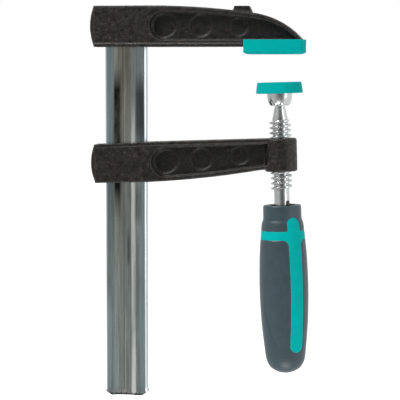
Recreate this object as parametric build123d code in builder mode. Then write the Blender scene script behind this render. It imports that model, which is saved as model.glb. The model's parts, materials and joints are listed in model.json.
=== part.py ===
"""An F clamp: a cast fixed arm on a grooved steel rail, a sliding arm, a screw spindle and its handle.

Millimetres. +Z runs up the rail, +X from the rail out to the spindle, and -Y is the front. The origin is the
middle of the fixed jaw's clamping face. The sliding arm rests canted on the rail, as it does when it is let go,
so the arm, its spindle, plate and handle are all drawn in the arm's own tilted planes.
"""

import os
from math import cos, radians, sin, sqrt

from build123d import *

os.makedirs("parts", exist_ok=True)

# The rail: a flat bar with a wide groove down both faces
throat_depth = 80.0
rail_width = 25.0
rail_thickness = 6.0
rail_corner = 1.2
rail_top = 28.2
rail_bottom = -206.2
groove_mouth_half = 7.2
groove_floor_half = 4.2
groove_depth = 1.1
score_half = 0.6
score_depth = 0.3
upset_height = 4.5
upset_growth = 0.6
bevel_width = 4.0
bevel_height = 1.7
rail_x = -throat_depth - rail_width / 2

# Both arms are iron castings of one section: two flanges, a thin web and a wider lip along the working edge
arm_half = 7.0
lip_half = 7.6
lip_height = 2.0
web_half = 2.6
dimple_depth = 0.9
casting_edge = 1.2
bulge_half = 5.6
bulge_inset = 0.6
bulge_root = 2.0

# The fixed arm, in plain X and Z
fixed_back = -111.6
fixed_underside = 4.4
fixed_top = 29.1
fixed_bulge = 2.2
block_half = 4.2
fixed_dimples = [((-69.2, 17.0), 7.0), ((-47.4, 17.0), 6.5), ((-24.3, 16.2), 5.2)]

# The fixed jaw: a foot under the arm's tip, and the soft cap pressed over it
foot_start = -21.4
foot_end = 15.4
cap_half_width = 10.6
cap_crown = 1.6
cap_tip_bow = 1.8
cap_tip_corner = 3.5
cap_sole_edge = 0.8
cap_height = 8.7
cap_wall = 2.4
cap_sole = 2.6
cap_lip_height = 0.5
cap_lip = 0.6

# The sliding arm's rest pose, and its own u (out) and w (up) axes through the middle of the threaded boss
arm_tilt = 1.55
boss_centre = (0.6, 0, -60.0)
out = Vector(cos(radians(arm_tilt)), 0, sin(radians(arm_tilt)))
up = Vector(-sin(radians(arm_tilt)), 0, cos(radians(arm_tilt)))
boss_radius = 9.7
boss_top = 10.5
boss_bottom = -9.4
sliding_back = -112.1
sliding_top = 9.3
sliding_throat_top = 10.0
sliding_underside = -14.1
sliding_bulge = 2.2
sliding_dimples = [((-69.0, -2.0), 7.0), ((-47.5, -1.0), 6.4), ((-24.2, 0.8), 5.3)]

# The slot that lets the arm run along the rail, from square to canted
slot_back = -106.15
slot_throat = -80.2
slot_half_thickness = 3.3
slot_corner = 0.8

# The steel pin that bears on the rail's back edge
pin_radius = 2.0
pin_u = -107.59
pin_w = 5.40
pin_front_wall = 1.6
pin_clearance = 0.05
pin_edge = 0.3

# The spindle: a trapezoidal thread, right-handed
pitch = 3.0
thread_radius = 6.4
root_radius = 4.6
crest_width = 0.95
base_width = 1.9
thread_bottom = -21.95
thread_top = 22.1
nut_clearance = 0.15
shank_radius = 4.6
neck_radius = 3.1
neck_start = 28.8
ball_centre = 33.5
ball_radius = 5.0
shank_end = -92.0
ear_reach = 5.6
ear_half = 1.2
ear_top = -27.2
ear_bottom = -60.0
ear_angle = -37.0
ridge_rooting = 0.4
nut_turns = 9

# The pressure plate: a cup crimped round the ball, a disc, and a soft cap over the disc
plate_bottom = 29.7
plate_underside = 37.0
cup_radius = 7.5
cup_mouth_radius = 4.6
cup_clearance = 0.06
disc_radius = 12.0
disc_bottom = 37.6
disc_top = 40.2
plate_cap_top = 43.6
plate_cap_base_radius = 14.0
plate_cap_top_radius = 13.1
plate_cap_lap = 1.0
plate_cap_edge = 0.5

# The handle: a core with a ring and two ribs, moulded over in a darker plastic above and below the ring
handle_top = -29.4
handle_length = 100.9
collar_radius = 11.3
collar_height = 8.7
core_wall = 3.0
core_recess = 2.0
core_waist_radius = 11.6
core_end_radius = 8.2
core_tail = 4.0
rib_count = 2
rib_half_width = 4.35
rib_top = -36.3
rib_bottom = -116.8
rib_angle = -51.0
ring_top = -44.4
ring_bottom = -49.6

front_view = Plane.XZ
arm_view = Plane(origin=boss_centre, x_dir=out, z_dir=(0, -1, 0))
screw_plane = Plane(origin=boss_centre, x_dir=out, z_dir=up)


def groove_section():
    """One groove on each face of the bar, with a fine score down the middle of its floor."""
    face = rail_thickness / 2
    floor = face - groove_depth
    with BuildSketch() as section:
        with BuildLine():
            Polyline(
                (-groove_mouth_half, face),
                (-groove_floor_half, floor),
                (-score_half, floor),
                (0, floor - score_depth),
                (score_half, floor),
                (groove_floor_half, floor),
                (groove_mouth_half, face),
                close=True,
            )
        make_face()
        mirror(about=Plane.XZ)
    return section.sketch


def jaw_plan(inset):
    """The fixed jaw's plan: bowed sides, a bowed tip with round corners, and a straight inner end."""
    start = foot_start + inset
    end = foot_end - inset
    side = cap_half_width - inset
    middle = (start + end) / 2
    corner_x = end - cap_tip_bow
    corner_y = side - cap_crown
    with BuildSketch() as plan:
        with BuildLine():
            front = ThreePointArc((start, -corner_y), (middle, -side), (corner_x, -corner_y))
            tip = ThreePointArc(front @ 1, (end, 0), (corner_x, corner_y))
            back = ThreePointArc(tip @ 1, (middle, side), (start, corner_y))
            Line(back @ 1, front @ 0)
        make_face()
        fillet(plan.vertices().sort_by(Axis.X)[-2:], cap_tip_corner - inset)
    return plan.sketch


def thread_ridge(start, turns, root, crest, base):
    """A trapezoidal ridge wound up the screw's axis from a height, rooted a little inside the core."""
    reach = thread_radius - root_radius
    widening = ridge_rooting * (base - crest) / 2 / reach
    with BuildPart() as ridge:
        with BuildLine() as winding:
            Helix(pitch, turns * pitch, root - ridge_rooting, center=(0, 0, start))
        with BuildSketch(Plane(winding.line @ 0, x_dir=(1, 0, 0), z_dir=winding.line % 0)):
            with BuildLine():
                Polyline(
                    (0, -base / 2 - widening),
                    (ridge_rooting + reach, -crest / 2),
                    (ridge_rooting + reach, crest / 2),
                    (0, base / 2 + widening),
                    close=True,
                )
            make_face()
        sweep(path=winding.line, is_frenet=True)
    return ridge.part.moved(screw_plane.location)


# ---- Rail ------------------------------------------------------------------------------------------------

grooves = groove_section()

with BuildPart() as rail:
    with BuildSketch(Plane((rail_x, 0, rail_bottom + upset_height))):
        RectangleRounded(rail_width, rail_thickness, rail_corner)
    extrude(amount=rail_top - rail_bottom - upset_height)
    # The sheared foot is swollen a little, so that the sliding arm can't run off
    with BuildSketch(Plane((rail_x, 0, rail_bottom + upset_height))):
        RectangleRounded(rail_width, rail_thickness, rail_corner)
    with BuildSketch(Plane((rail_x, 0, rail_bottom))):
        RectangleRounded(rail_width + 2 * upset_growth, rail_thickness + upset_growth, rail_corner)
    loft()
    with BuildSketch(Plane((rail_x, 0, rail_bottom))):
        add(grooves)
    extrude(amount=rail_top - rail_bottom, mode=Mode.SUBTRACT)
    for side in (-1, 1):
        corner_x = rail_x + side * (rail_width / 2 + upset_growth)
        with BuildSketch(front_view):
            with BuildLine():
                Polyline(
                    (corner_x - side * bevel_width, rail_bottom),
                    (corner_x, rail_bottom + bevel_height),
                    (corner_x + side, rail_bottom + bevel_height),
                    (corner_x + side, rail_bottom - 1),
                    (corner_x - side * bevel_width, rail_bottom - 1),
                    close=True,
                )
            make_face()
        extrude(amount=rail_thickness, both=True, mode=Mode.SUBTRACT)

# ---- Fixed arm -------------------------------------------------------------------------------------------

cap_plan = jaw_plan(0)
foot_plan = jaw_plan(cap_wall)
opening_plan = jaw_plan(cap_wall + cap_lip)

with BuildPart() as fixed_arm:
    with BuildSketch(front_view):
        with BuildLine():
            back_edge = Line((fixed_back, fixed_underside), (fixed_back, fixed_top))
            shoulder = Line(back_edge @ 1, (-77, fixed_top))
            long_arc = ThreePointArc(shoulder @ 1, (-46, 27.9), (-14.5, 24.4))
            tip_arc = ThreePointArc(long_arc @ 1, (3.0, 17.7), (14.0, 8.0))
            Polyline(tip_arc @ 1, (12.8, fixed_underside), back_edge @ 0)
        make_face()
    extrude(amount=arm_half, both=True)
    sides = fixed_arm.faces().filter_by(Axis.Y).edges()
    fillet(sides.filter_by(lambda edge: edge.center().Z > fixed_underside + lip_height), casting_edge)
    with BuildSketch(front_view):
        with BuildLine():
            bow = ThreePointArc(
                (fixed_back, fixed_underside + bulge_inset),
                (fixed_back - fixed_bulge, (fixed_underside + fixed_top) / 2),
                (fixed_back, fixed_top - bulge_inset),
            )
            Polyline(
                bow @ 1,
                (fixed_back + bulge_root, fixed_top - bulge_root),
                (fixed_back + bulge_root, fixed_underside + bulge_root),
                bow @ 0,
            )
        make_face()
    extrude(amount=bulge_half, both=True)
    # A low block on the arm's back
    with BuildSketch(front_view):
        with BuildLine():
            Polyline((-28.6, 23), (-27.2, 28.7), (-18.2, 28.7), (-15.4, 22), close=True)
        make_face()
    extrude(amount=block_half, both=True)
    # The pockets leave a thin web between the flanges, open towards the tip
    for side in (1, -1):
        with BuildSketch(front_view.offset(side * arm_half)):
            with BuildLine():
                nose = ThreePointArc((-68.9, 8.6), (-77.3, 17.0), (-68.9, 25.4))
                upper = ThreePointArc(nose @ 1, (-40, 24.0), (-14.0, 20.9))
                end = ThreePointArc(upper @ 1, (1.4, 15.7), (10.4, 8.6))
                Line(end @ 1, nose @ 0)
            make_face()
        extrude(amount=-side * (arm_half - web_half), mode=Mode.SUBTRACT)
        for (x, z), radius in fixed_dimples:
            with BuildSketch(Plane(front_view.from_local_coords((x, z, side * web_half)), z_dir=(0, -side, 0))):
                Circle(radius)
            extrude(amount=-dimple_depth, mode=Mode.SUBTRACT)
    # The lip along the working edge, and the foot that carries the jaw cap
    with BuildSketch(front_view):
        with Locations(((fixed_back + foot_start) / 2 + 0.5, fixed_underside + lip_height / 2)):
            Rectangle(foot_start - fixed_back - 1, lip_height)
    extrude(amount=lip_half, both=True)
    with BuildSketch(Plane.XY.offset(cap_sole)):
        add(foot_plan)
    extrude(amount=cap_height - cap_lip_height - cap_sole)
    add(rail.part, mode=Mode.SUBTRACT)

with BuildPart() as fixed_jaw_cap:
    with BuildSketch(Plane.XY):
        add(cap_plan)
    extrude(amount=cap_height)
    fillet(fixed_jaw_cap.faces().sort_by(Axis.Z)[0].edges(), cap_sole_edge)
    with BuildSketch(Plane.XY.offset(cap_height)):
        add(opening_plan)
    extrude(amount=-cap_lip_height, mode=Mode.SUBTRACT)
    add(fixed_arm.part, mode=Mode.SUBTRACT)

# ---- Guide pin -------------------------------------------------------------------------------------------

pin_front = arm_half - pin_front_wall
pin_centre = arm_view.from_local_coords((pin_u, pin_w, 0))

with BuildPart() as rear_guide_pin:
    with BuildSketch(Plane((pin_centre.X, -pin_front, pin_centre.Z), z_dir=(0, 1, 0))):
        Circle(pin_radius)
    extrude(amount=pin_front + arm_half)
    chamfer(rear_guide_pin.edges().filter_by(GeomType.CIRCLE), pin_edge)

# ---- Spindle ---------------------------------------------------------------------------------------------

thread_start = thread_bottom + base_width / 2
thread_turns = (thread_top - thread_bottom - base_width) / pitch
spindle_thread = thread_ridge(thread_start, thread_turns, root_radius, crest_width, base_width)

with BuildPart() as spindle:
    with BuildSketch(screw_plane.offset(shank_end)):
        Circle(shank_radius)
    extrude(amount=thread_top - shank_end)
    with BuildSketch(screw_plane.offset(thread_top)):
        Circle(root_radius)
    with BuildSketch(screw_plane.offset(neck_start)):
        Circle(neck_radius)
    loft()
    with BuildSketch(screw_plane.offset(neck_start)):
        Circle(neck_radius)
    extrude(amount=ball_centre - sqrt(ball_radius**2 - neck_radius**2) - neck_start)
    # Two ears pinched out of the shank stop it turning in the handle
    with BuildSketch(screw_plane.offset(ear_bottom)):
        Rectangle(2 * ear_reach, 2 * ear_half, rotation=ear_angle)
    extrude(amount=ear_top - ear_bottom)
    add(spindle_thread)

with BuildPart() as spindle_ball:
    with BuildSketch(arm_view):
        with BuildLine():
            flat = ball_centre - sqrt(ball_radius**2 - neck_radius**2)
            ball_arc = ThreePointArc(
                (neck_radius, flat), (ball_radius, ball_centre), (0, ball_centre + ball_radius)
            )
            Polyline(ball_arc @ 1, (0, flat), ball_arc @ 0)
        make_face()
    revolve(axis=Axis(boss_centre, up))

# ---- Sliding arm -----------------------------------------------------------------------------------------

nut_root = root_radius + nut_clearance
nut_crest = crest_width + 2 * nut_clearance
nut_base = base_width + 2 * nut_clearance
nut_thread = thread_ridge(thread_start + 2 * pitch, nut_turns, nut_root, nut_crest, nut_base)

with BuildPart() as tap:
    with BuildSketch(screw_plane.offset(2 * boss_bottom)):
        Circle(nut_root)
    extrude(amount=4 * boss_top)
    add(nut_thread)

with BuildPart() as sliding_arm:
    with BuildSketch(arm_view):
        with BuildLine():
            back_edge = Line((sliding_back, sliding_underside), (sliding_back, sliding_top))
            top_edge = Polyline(back_edge @ 1, (-throat_depth, sliding_throat_top), (0, boss_top))
            Polyline(top_edge @ 1, (0, -7.5), (-11.5, -8.1))
            belly = ThreePointArc((-11.5, -8.1), (-47.5, -12.3), (-throat_depth, sliding_underside))
            Line(belly @ 1, back_edge @ 0)
        make_face()
    extrude(amount=arm_half, both=True)
    sides = sliding_arm.faces().filter_by(Axis.Y).edges()
    fillet(sides.filter_by(lambda edge: screw_plane.to_local_coords(edge.center()).Z < 5), casting_edge)
    with BuildSketch(arm_view):
        with BuildLine():
            bow = ThreePointArc(
                (sliding_back, sliding_underside + bulge_inset),
                (sliding_back - sliding_bulge, (sliding_underside + sliding_top) / 2),
                (sliding_back, sliding_top - bulge_inset),
            )
            Polyline(
                bow @ 1,
                (sliding_back + bulge_root, sliding_top - bulge_root),
                (sliding_back + bulge_root, sliding_underside + bulge_root),
                bow @ 0,
            )
        make_face()
    extrude(amount=bulge_half, both=True)
    for side in (1, -1):
        with BuildSketch(arm_view.offset(side * arm_half)):
            with BuildLine():
                nose = ThreePointArc((-68.4, -11.0), (-77.2, -2.2), (-68.4, 6.6))
                upper = Line(nose @ 1, (0, 7.6))
                Polyline(upper @ 1, (0, -4.6), (-9, -5.4))
                ThreePointArc((-9, -5.4), (-40, -8.9), nose @ 0)
            make_face()
        extrude(amount=-side * (arm_half - web_half), mode=Mode.SUBTRACT)
        for (u, w), radius in sliding_dimples:
            with BuildSketch(Plane(arm_view.from_local_coords((u, w, side * web_half)), z_dir=(0, -side, 0))):
                Circle(radius)
            extrude(amount=-dimple_depth, mode=Mode.SUBTRACT)
    with BuildSketch(arm_view):
        with BuildLine():
            Polyline(
                (sliding_back + 1, sliding_top),
                (-throat_depth, sliding_throat_top),
                (0, boss_top),
                (0, boss_top - lip_height),
                (-throat_depth, sliding_throat_top - lip_height),
                (sliding_back + 1, sliding_top - lip_height),
                close=True,
            )
        make_face()
    extrude(amount=lip_half, both=True)
    with BuildSketch(arm_view) as boss_half_section:
        with Locations((boss_radius / 2, (boss_top + boss_bottom) / 2)):
            Rectangle(boss_radius, boss_top - boss_bottom)
        fillet(boss_half_section.vertices().group_by(Axis.X)[-1], casting_edge)
    revolve(axis=Axis(boss_centre, up))
    # The rail slot
    with BuildSketch(screw_plane.offset(2 * boss_bottom)):
        with Locations(((slot_back + slot_throat) / 2, 0)):
            RectangleRounded(slot_throat - slot_back, 2 * slot_half_thickness, slot_corner)
    extrude(amount=4 * boss_top, mode=Mode.SUBTRACT)
    # The pin's blind hole, drilled from the back
    with BuildSketch(Plane((pin_centre.X, -pin_front - pin_clearance, pin_centre.Z), z_dir=(0, 1, 0))):
        Circle(pin_radius + pin_clearance)
    extrude(amount=2 * arm_half, mode=Mode.SUBTRACT)
    add(tap.part, mode=Mode.SUBTRACT)

# ---- Pressure plate --------------------------------------------------------------------------------------

with BuildPart() as pressure_plate:
    with BuildSketch(arm_view):
        with BuildLine():
            cavity = ball_radius + cup_clearance
            mouth_w = ball_centre - sqrt(cavity**2 - cup_mouth_radius**2)
            cup_side = [(5.4, plate_bottom), (7.0, plate_bottom + 2.6), (cup_radius, disc_bottom)]
            cup = Spline(cup_side, tangents=((1, 0.5), (0, 1)))
            rim = Polyline(
                cup @ 1,
                (disc_radius, disc_bottom),
                (disc_radius, disc_top),
                (0, disc_top),
                (0, ball_centre + cavity),
            )
            socket = ThreePointArc(rim @ 1, (cavity, ball_centre), (cup_mouth_radius, mouth_w))
            Polyline(socket @ 1, (cup_mouth_radius, plate_bottom), cup @ 0)
        make_face()
    revolve(axis=Axis(boss_centre, up))

with BuildPart() as pressure_plate_cap:
    with BuildSketch(arm_view):
        with BuildLine():
            Polyline(
                (disc_radius - plate_cap_lap, plate_underside),
                (plate_cap_base_radius, plate_underside),
                (plate_cap_top_radius, plate_cap_top),
                (0, plate_cap_top),
                (0, disc_top),
                (disc_radius, disc_top),
                (disc_radius, disc_bottom),
                (disc_radius - plate_cap_lap, disc_bottom),
                close=True,
            )
        make_face()
    revolve(axis=Axis(boss_centre, up))
    outer_rims = pressure_plate_cap.edges().filter_by(GeomType.CIRCLE).sort_by(SortBy.RADIUS)[-2:]
    fillet(outer_rims, plate_cap_edge)

# ---- Handle ----------------------------------------------------------------------------------------------

handle_foot = handle_top - handle_length
beyond_form = 2 * collar_radius

with BuildPart() as handle_form:
    with BuildSketch(arm_view):
        with BuildLine():
            collar = Line((collar_radius, handle_top), (collar_radius + 0.15, handle_top - collar_height))
            belly = Spline(
                collar @ 1,
                (12.7, handle_top - 13.0),
                (14.3, handle_top - 33.7),
                (14.65, handle_top - 48.0),
                (13.95, handle_top - 69.5),
                (12.15, handle_top - 89.5),
            )
            dome = Spline(belly @ 1, (7.5, handle_foot + 2.7), (0, handle_foot), tangents=(belly % 1, (-1, 0)))
            Polyline(dome @ 1, (0, handle_top), collar @ 0)
        make_face()
    revolve(axis=Axis(boss_centre, up))

with BuildPart() as handle_core:
    # The ring and ribs reach the surface of the form
    with BuildSketch(screw_plane.offset(ring_bottom)):
        Circle(beyond_form)
    extrude(amount=ring_top - ring_bottom)
    for number in range(rib_count):
        turn = rib_angle + number * 360 / rib_count
        outward = screw_plane.rotated((0, 0, turn))
        with BuildSketch(Plane(screw_plane.origin, x_dir=up, z_dir=outward.x_dir)):
            with Locations(((rib_top + rib_bottom) / 2, 0)):
                SlotOverall(rib_top - rib_bottom, 2 * rib_half_width)
        extrude(amount=beyond_form)
    add(handle_form.part, mode=Mode.INTERSECT)
    # The sleeve under them holds the shank
    with BuildSketch(arm_view):
        with BuildLine():
            Polyline(
                (0, handle_top - core_recess),
                (collar_radius - core_wall, handle_top - core_recess),
                (core_waist_radius, rib_top - 26),
                (core_waist_radius, rib_bottom + 27),
                (core_end_radius, rib_bottom - core_tail),
                (0, rib_bottom - core_tail),
                close=True,
            )
        make_face()
    revolve(axis=Axis(boss_centre, up))
    add(spindle.part, mode=Mode.SUBTRACT)

with BuildPart() as overmould:
    add(handle_form.part)
    add(handle_core.part, mode=Mode.SUBTRACT)
    add(spindle.part, mode=Mode.SUBTRACT)

overmould_pieces = overmould.part.solids().sort_by(Axis(boss_centre, up))

with BuildPart() as grip_collar:
    add(overmould_pieces[-1])

with BuildPart() as grip_sleeve:
    add(overmould_pieces[0])

pieces = {
    "rail": rail,
    "fixed_arm": fixed_arm,
    "fixed_jaw_cap": fixed_jaw_cap,
    "rear_guide_pin": rear_guide_pin,
    "sliding_arm": sliding_arm,
    "spindle": spindle,
    "spindle_ball": spindle_ball,
    "pressure_plate": pressure_plate,
    "pressure_plate_cap": pressure_plate_cap,
    "handle_core": handle_core,
    "grip_collar": grip_collar,
    "grip_sleeve": grip_sleeve,
}
for name, piece in pieces.items():
    piece.part.label = name
    export_step(piece.part, f"parts/{name}.step")
    print(name, len(piece.part.solids()), round(piece.part.volume, 1), piece.part.is_valid)
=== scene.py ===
import json
from math import ceil, copysign, cos, hypot, pi, radians, sin, sqrt, tan

import bmesh
import bpy
from mathutils import Matrix, Vector, noise


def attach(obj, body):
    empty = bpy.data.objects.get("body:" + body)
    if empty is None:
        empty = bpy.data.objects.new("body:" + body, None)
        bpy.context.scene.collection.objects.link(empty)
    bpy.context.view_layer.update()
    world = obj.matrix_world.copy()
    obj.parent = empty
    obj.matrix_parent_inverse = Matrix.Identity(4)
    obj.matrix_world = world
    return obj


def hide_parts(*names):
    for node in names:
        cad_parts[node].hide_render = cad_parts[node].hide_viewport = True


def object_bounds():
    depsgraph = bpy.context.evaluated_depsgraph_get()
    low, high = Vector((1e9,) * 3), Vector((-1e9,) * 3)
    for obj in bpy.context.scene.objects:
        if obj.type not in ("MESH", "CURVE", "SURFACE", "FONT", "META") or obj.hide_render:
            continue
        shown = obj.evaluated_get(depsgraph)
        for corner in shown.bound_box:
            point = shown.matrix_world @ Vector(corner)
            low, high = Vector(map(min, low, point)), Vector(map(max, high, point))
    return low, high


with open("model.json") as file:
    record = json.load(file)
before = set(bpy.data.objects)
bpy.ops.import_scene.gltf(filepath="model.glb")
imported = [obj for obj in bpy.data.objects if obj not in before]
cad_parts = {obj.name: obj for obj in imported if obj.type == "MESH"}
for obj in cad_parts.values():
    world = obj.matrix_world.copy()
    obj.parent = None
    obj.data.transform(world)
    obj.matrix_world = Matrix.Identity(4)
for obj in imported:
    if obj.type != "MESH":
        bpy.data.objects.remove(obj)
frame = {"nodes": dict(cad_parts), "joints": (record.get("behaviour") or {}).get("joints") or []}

cad_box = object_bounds()
MM = 0.001
CM = 0.01

# ---- The clamp's own directions ------------------------------------------------------------------

joints = {joint["name"]: joint for joint in frame["joints"]}
screw_up = Vector(joints["spindle_turn"]["axis"]).normalized()
boss_centre = Vector(joints["spindle_turn"]["pos_m"])
arm_out = Vector((0, 1, 0)).cross(screw_up)


def axes(x_axis, y_axis, z_axis, origin):
    """A placement from mm on these axes to metres in the shared frame."""
    turn = Matrix((x_axis, y_axis, z_axis)).transposed().to_4x4()
    return Matrix.Translation(origin) @ turn @ Matrix.Scale(MM, 4)


# From mm in the shared frame, and from mm on the screw's own axes with their origin in the middle of the boss
upright = Matrix.Scale(MM, 4)
on_screw = axes(arm_out, Vector((0, 1, 0)), screw_up, boss_centre)

# ---- Mesh helpers --------------------------------------------------------------------------------


def to_object(name, mesh_or_bm, placement=None):
    """A linked object from a mesh or a bmesh, moved into the shared frame."""
    if isinstance(mesh_or_bm, bmesh.types.BMesh):
        mesh = bpy.data.meshes.new(name)
        bmesh.ops.recalc_face_normals(mesh_or_bm, faces=mesh_or_bm.faces)
        mesh_or_bm.to_mesh(mesh)
        mesh_or_bm.free()
    else:
        mesh = mesh_or_bm
    if placement is not None:
        mesh.transform(placement)
    piece = bpy.data.objects.new(name, mesh)
    bpy.context.scene.collection.objects.link(piece)
    return piece


def bake_modifiers(piece):
    """Applies every modifier to the piece's mesh."""
    bpy.context.view_layer.update()
    graph = bpy.context.evaluated_depsgraph_get()
    mesh = bpy.data.meshes.new_from_object(piece.evaluated_get(graph))
    piece.modifiers.clear()
    piece.data = mesh


def shade(piece, angle=35):
    """Smooth shading that keeps edges sharper than the angle."""
    mesh = piece.data
    mesh.polygons.foreach_set("use_smooth", [True] * len(mesh.polygons))
    mesh.set_sharp_from_angle(angle=radians(angle))


def cut(piece, cutter):
    """Takes the cutter's solid out of the piece, and removes the cutter."""
    knife = piece.modifiers.new("cut", "BOOLEAN")
    knife.operation = "DIFFERENCE"
    knife.object = cutter
    knife.solver = "EXACT"
    bake_modifiers(piece)
    bpy.data.objects.remove(cutter)


# An arc takes at most this share of each side next to it, and a shorter one than this is left out
ARC_SHARE = 0.45
SHORTEST_ARC = 1e-4


def rounded(points, radius, steps=5, closed=False):
    """The outline with each inner corner turned into an arc that its sides leave room for."""
    outline = []
    count = len(points)
    for i, point in enumerate(points):
        here = Vector(point)
        if not closed and i in (0, count - 1):
            outline.append(here)
            continue
        before = Vector(points[i - 1]) - here
        after = Vector(points[(i + 1) % count]) - here
        half = before.angle(after) / 2
        reach = 0
        if half < pi / 2 - SHORTEST_ARC:
            reach = min(radius / tan(half), ARC_SHARE * before.length, ARC_SHARE * after.length)
        if reach < SHORTEST_ARC:
            outline.append(here)
            continue
        start = here + before.normalized() * reach
        end = here + after.normalized() * reach
        for step in range(steps + 1):
            t = step / steps
            outline.append(start.lerp(here, t).lerp(here.lerp(end, t), t))
    return outline


def lathe(bm, profile, segments=96, shape=None):
    """Turns (radius, height) points about Z. shape(angle, radius, height) may move each point."""
    rows = []
    for radius, height in profile:
        if radius < 1e-6:
            rows.append([bm.verts.new((0, 0, height))])
            continue
        row = []
        for i in range(segments):
            angle = 2 * pi * i / segments
            r, z = shape(angle, radius, height) if shape else (radius, height)
            row.append(bm.verts.new((r * cos(angle), r * sin(angle), z)))
        rows.append(row)
    for lower, upper in zip(rows, rows[1:]):
        join_rows(bm, lower, upper)
    return rows


def join_rows(bm, lower, upper):
    """Faces between two closed rings, either of which may be a single point."""
    count = max(len(lower), len(upper))
    for i in range(count):
        j = (i + 1) % count
        if len(lower) == 1:
            bm.faces.new((lower[0], upper[j], upper[i]))
        elif len(upper) == 1:
            bm.faces.new((lower[i], lower[j], upper[0]))
        else:
            bm.faces.new((lower[i], lower[j], upper[j], upper[i]))


def skin_rows(bm, rows):
    """Faces between closed rings from the first to the last, and one over each end, which it returns."""
    for lower, upper in zip(rows, rows[1:]):
        join_rows(bm, lower, upper)
    return [bm.faces.new(rows[0]), bm.faces.new(rows[-1])]


def smoothstep(low, high, value):
    """Rises from 0 at low to 1 at high, level at both ends."""
    t = min(1, max(0, (value - low) / (high - low)))
    return t * t * (3 - 2 * t)


def fill_ramp(ramp, stops):
    """Sets a colour ramp's (position, colour) stops. A colour is three numbers or one grey."""
    elements = ramp.color_ramp.elements
    while len(elements) < len(stops):
        elements.new(0.5)
    for element, (position, colour) in zip(elements, stops):
        element.position = position
        element.color = (*colour, 1) if isinstance(colour, tuple) else (colour, colour, colour, 1)


# The rail, in mm: its middle, half its width, half its thickness, its ends, the height of its swollen foot,
# and how far from its middle the scored line runs
RAIL_X = -92.5
RAIL_HALF = 12.5
RAIL_FACE = 3.0
RAIL_TOP = 28.2
RAIL_BOTTOM = -206.2
FOOT_HEIGHT = 4.5
SCORE = -1.5

# ---- Materials -----------------------------------------------------------------------------------


class Finish:
    """One Principled material and short calls for the nodes that feed it."""

    def __init__(self, name, **sockets):
        self.material = bpy.data.materials.new(name)
        self.material.use_nodes = True
        self.nodes = self.material.node_tree.nodes
        self.links = self.material.node_tree.links
        self.surface = self.nodes["Principled BSDF"]
        self.place = self.nodes.new("ShaderNodeTexCoord").outputs["Object"]
        for socket, value in sockets.items():
            self.surface.inputs[socket.replace("_", " ")].default_value = value

    def noise(self, size_mm, stretch=(1, 1, 1), detail=3.0, roughness=0.5, seed=0.0):
        """Noise whose grains are about this size, stretched along each axis."""
        mapping = self.nodes.new("ShaderNodeMapping")
        mapping.inputs["Scale"].default_value = [1 / (size_mm * MM * s) for s in stretch]
        mapping.inputs["Location"].default_value = (seed, seed * 0.7, seed * 1.3)
        self.links.new(self.place, mapping.inputs["Vector"])
        grain = self.nodes.new("ShaderNodeTexNoise")
        grain.inputs["Scale"].default_value = 1.0
        grain.inputs["Detail"].default_value = detail
        grain.inputs["Roughness"].default_value = roughness
        self.links.new(mapping.outputs["Vector"], grain.inputs["Vector"])
        return grain.outputs["Fac"]

    def ramp(self, value, stops):
        """Colours or greys along a value, as (position, colour) stops."""
        ramp = self.nodes.new("ShaderNodeValToRGB")
        fill_ramp(ramp, stops)
        self.links.new(value, ramp.inputs["Fac"])
        return ramp.outputs["Color"]

    def band(self, value, limits):
        """Rises between the first two of four limits along a value, and falls between the last two."""
        return self.ramp(value, list(zip(limits, (0, 1, 1, 0))))

    def mix(self, kind, amount, first, second):
        """Mixes two colours. The amount is a number or a value."""
        mixer = self.nodes.new("ShaderNodeMix")
        mixer.data_type = "RGBA"
        mixer.blend_type = kind
        for index, source in ((0, amount), (6, first), (7, second)):
            self.give(mixer, index, source)
        return mixer.outputs[2]

    def times(self, first, second):
        """One colour or grey multiplied by another."""
        return self.mix("MULTIPLY", 1.0, first, second)

    def paint(self, colour, paint, amount):
        """A flat colour laid over another by an amount that varies."""
        return self.mix("MIX", amount, colour, (*paint, 1))

    def bump(self, height, depth_mm, strength=1.0, under=None):
        """Relief of this depth, on top of another relief if one is given."""
        bump = self.nodes.new("ShaderNodeBump")
        bump.inputs["Strength"].default_value = strength
        bump.inputs["Distance"].default_value = depth_mm * MM
        self.links.new(height, bump.inputs["Height"])
        if under is not None:
            self.links.new(under, bump.inputs["Normal"])
        return bump.outputs["Normal"]

    def maths(self, operation, first, second=0.0):
        """One step of arithmetic. Each side is a number or a value."""
        step = self.nodes.new("ShaderNodeMath")
        step.operation = operation
        self.give(step, 0, first)
        self.give(step, 1, second)
        return step.outputs[0]

    def give(self, node, index, source):
        """Sets a node's input to a number or a colour, or links a value to it."""
        if isinstance(source, bpy.types.NodeSocket):
            self.links.new(source, node.inputs[index])
        else:
            node.inputs[index].default_value = source

    def coordinates(self):
        """The place on the piece, in metres, as outputs named X, Y and Z."""
        split = self.nodes.new("ShaderNodeSeparateXYZ")
        self.links.new(self.place, split.inputs[0])
        return split.outputs

    def pointiness(self):
        """A value that is low in inner corners, 0.5 on a flat and high on outer edges."""
        return self.nodes.new("ShaderNodeNewGeometry").outputs["Pointiness"]

    def feed(self, socket, source):
        """Links a value to one of the shader's sockets."""
        self.links.new(source, self.surface.inputs[socket])


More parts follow.
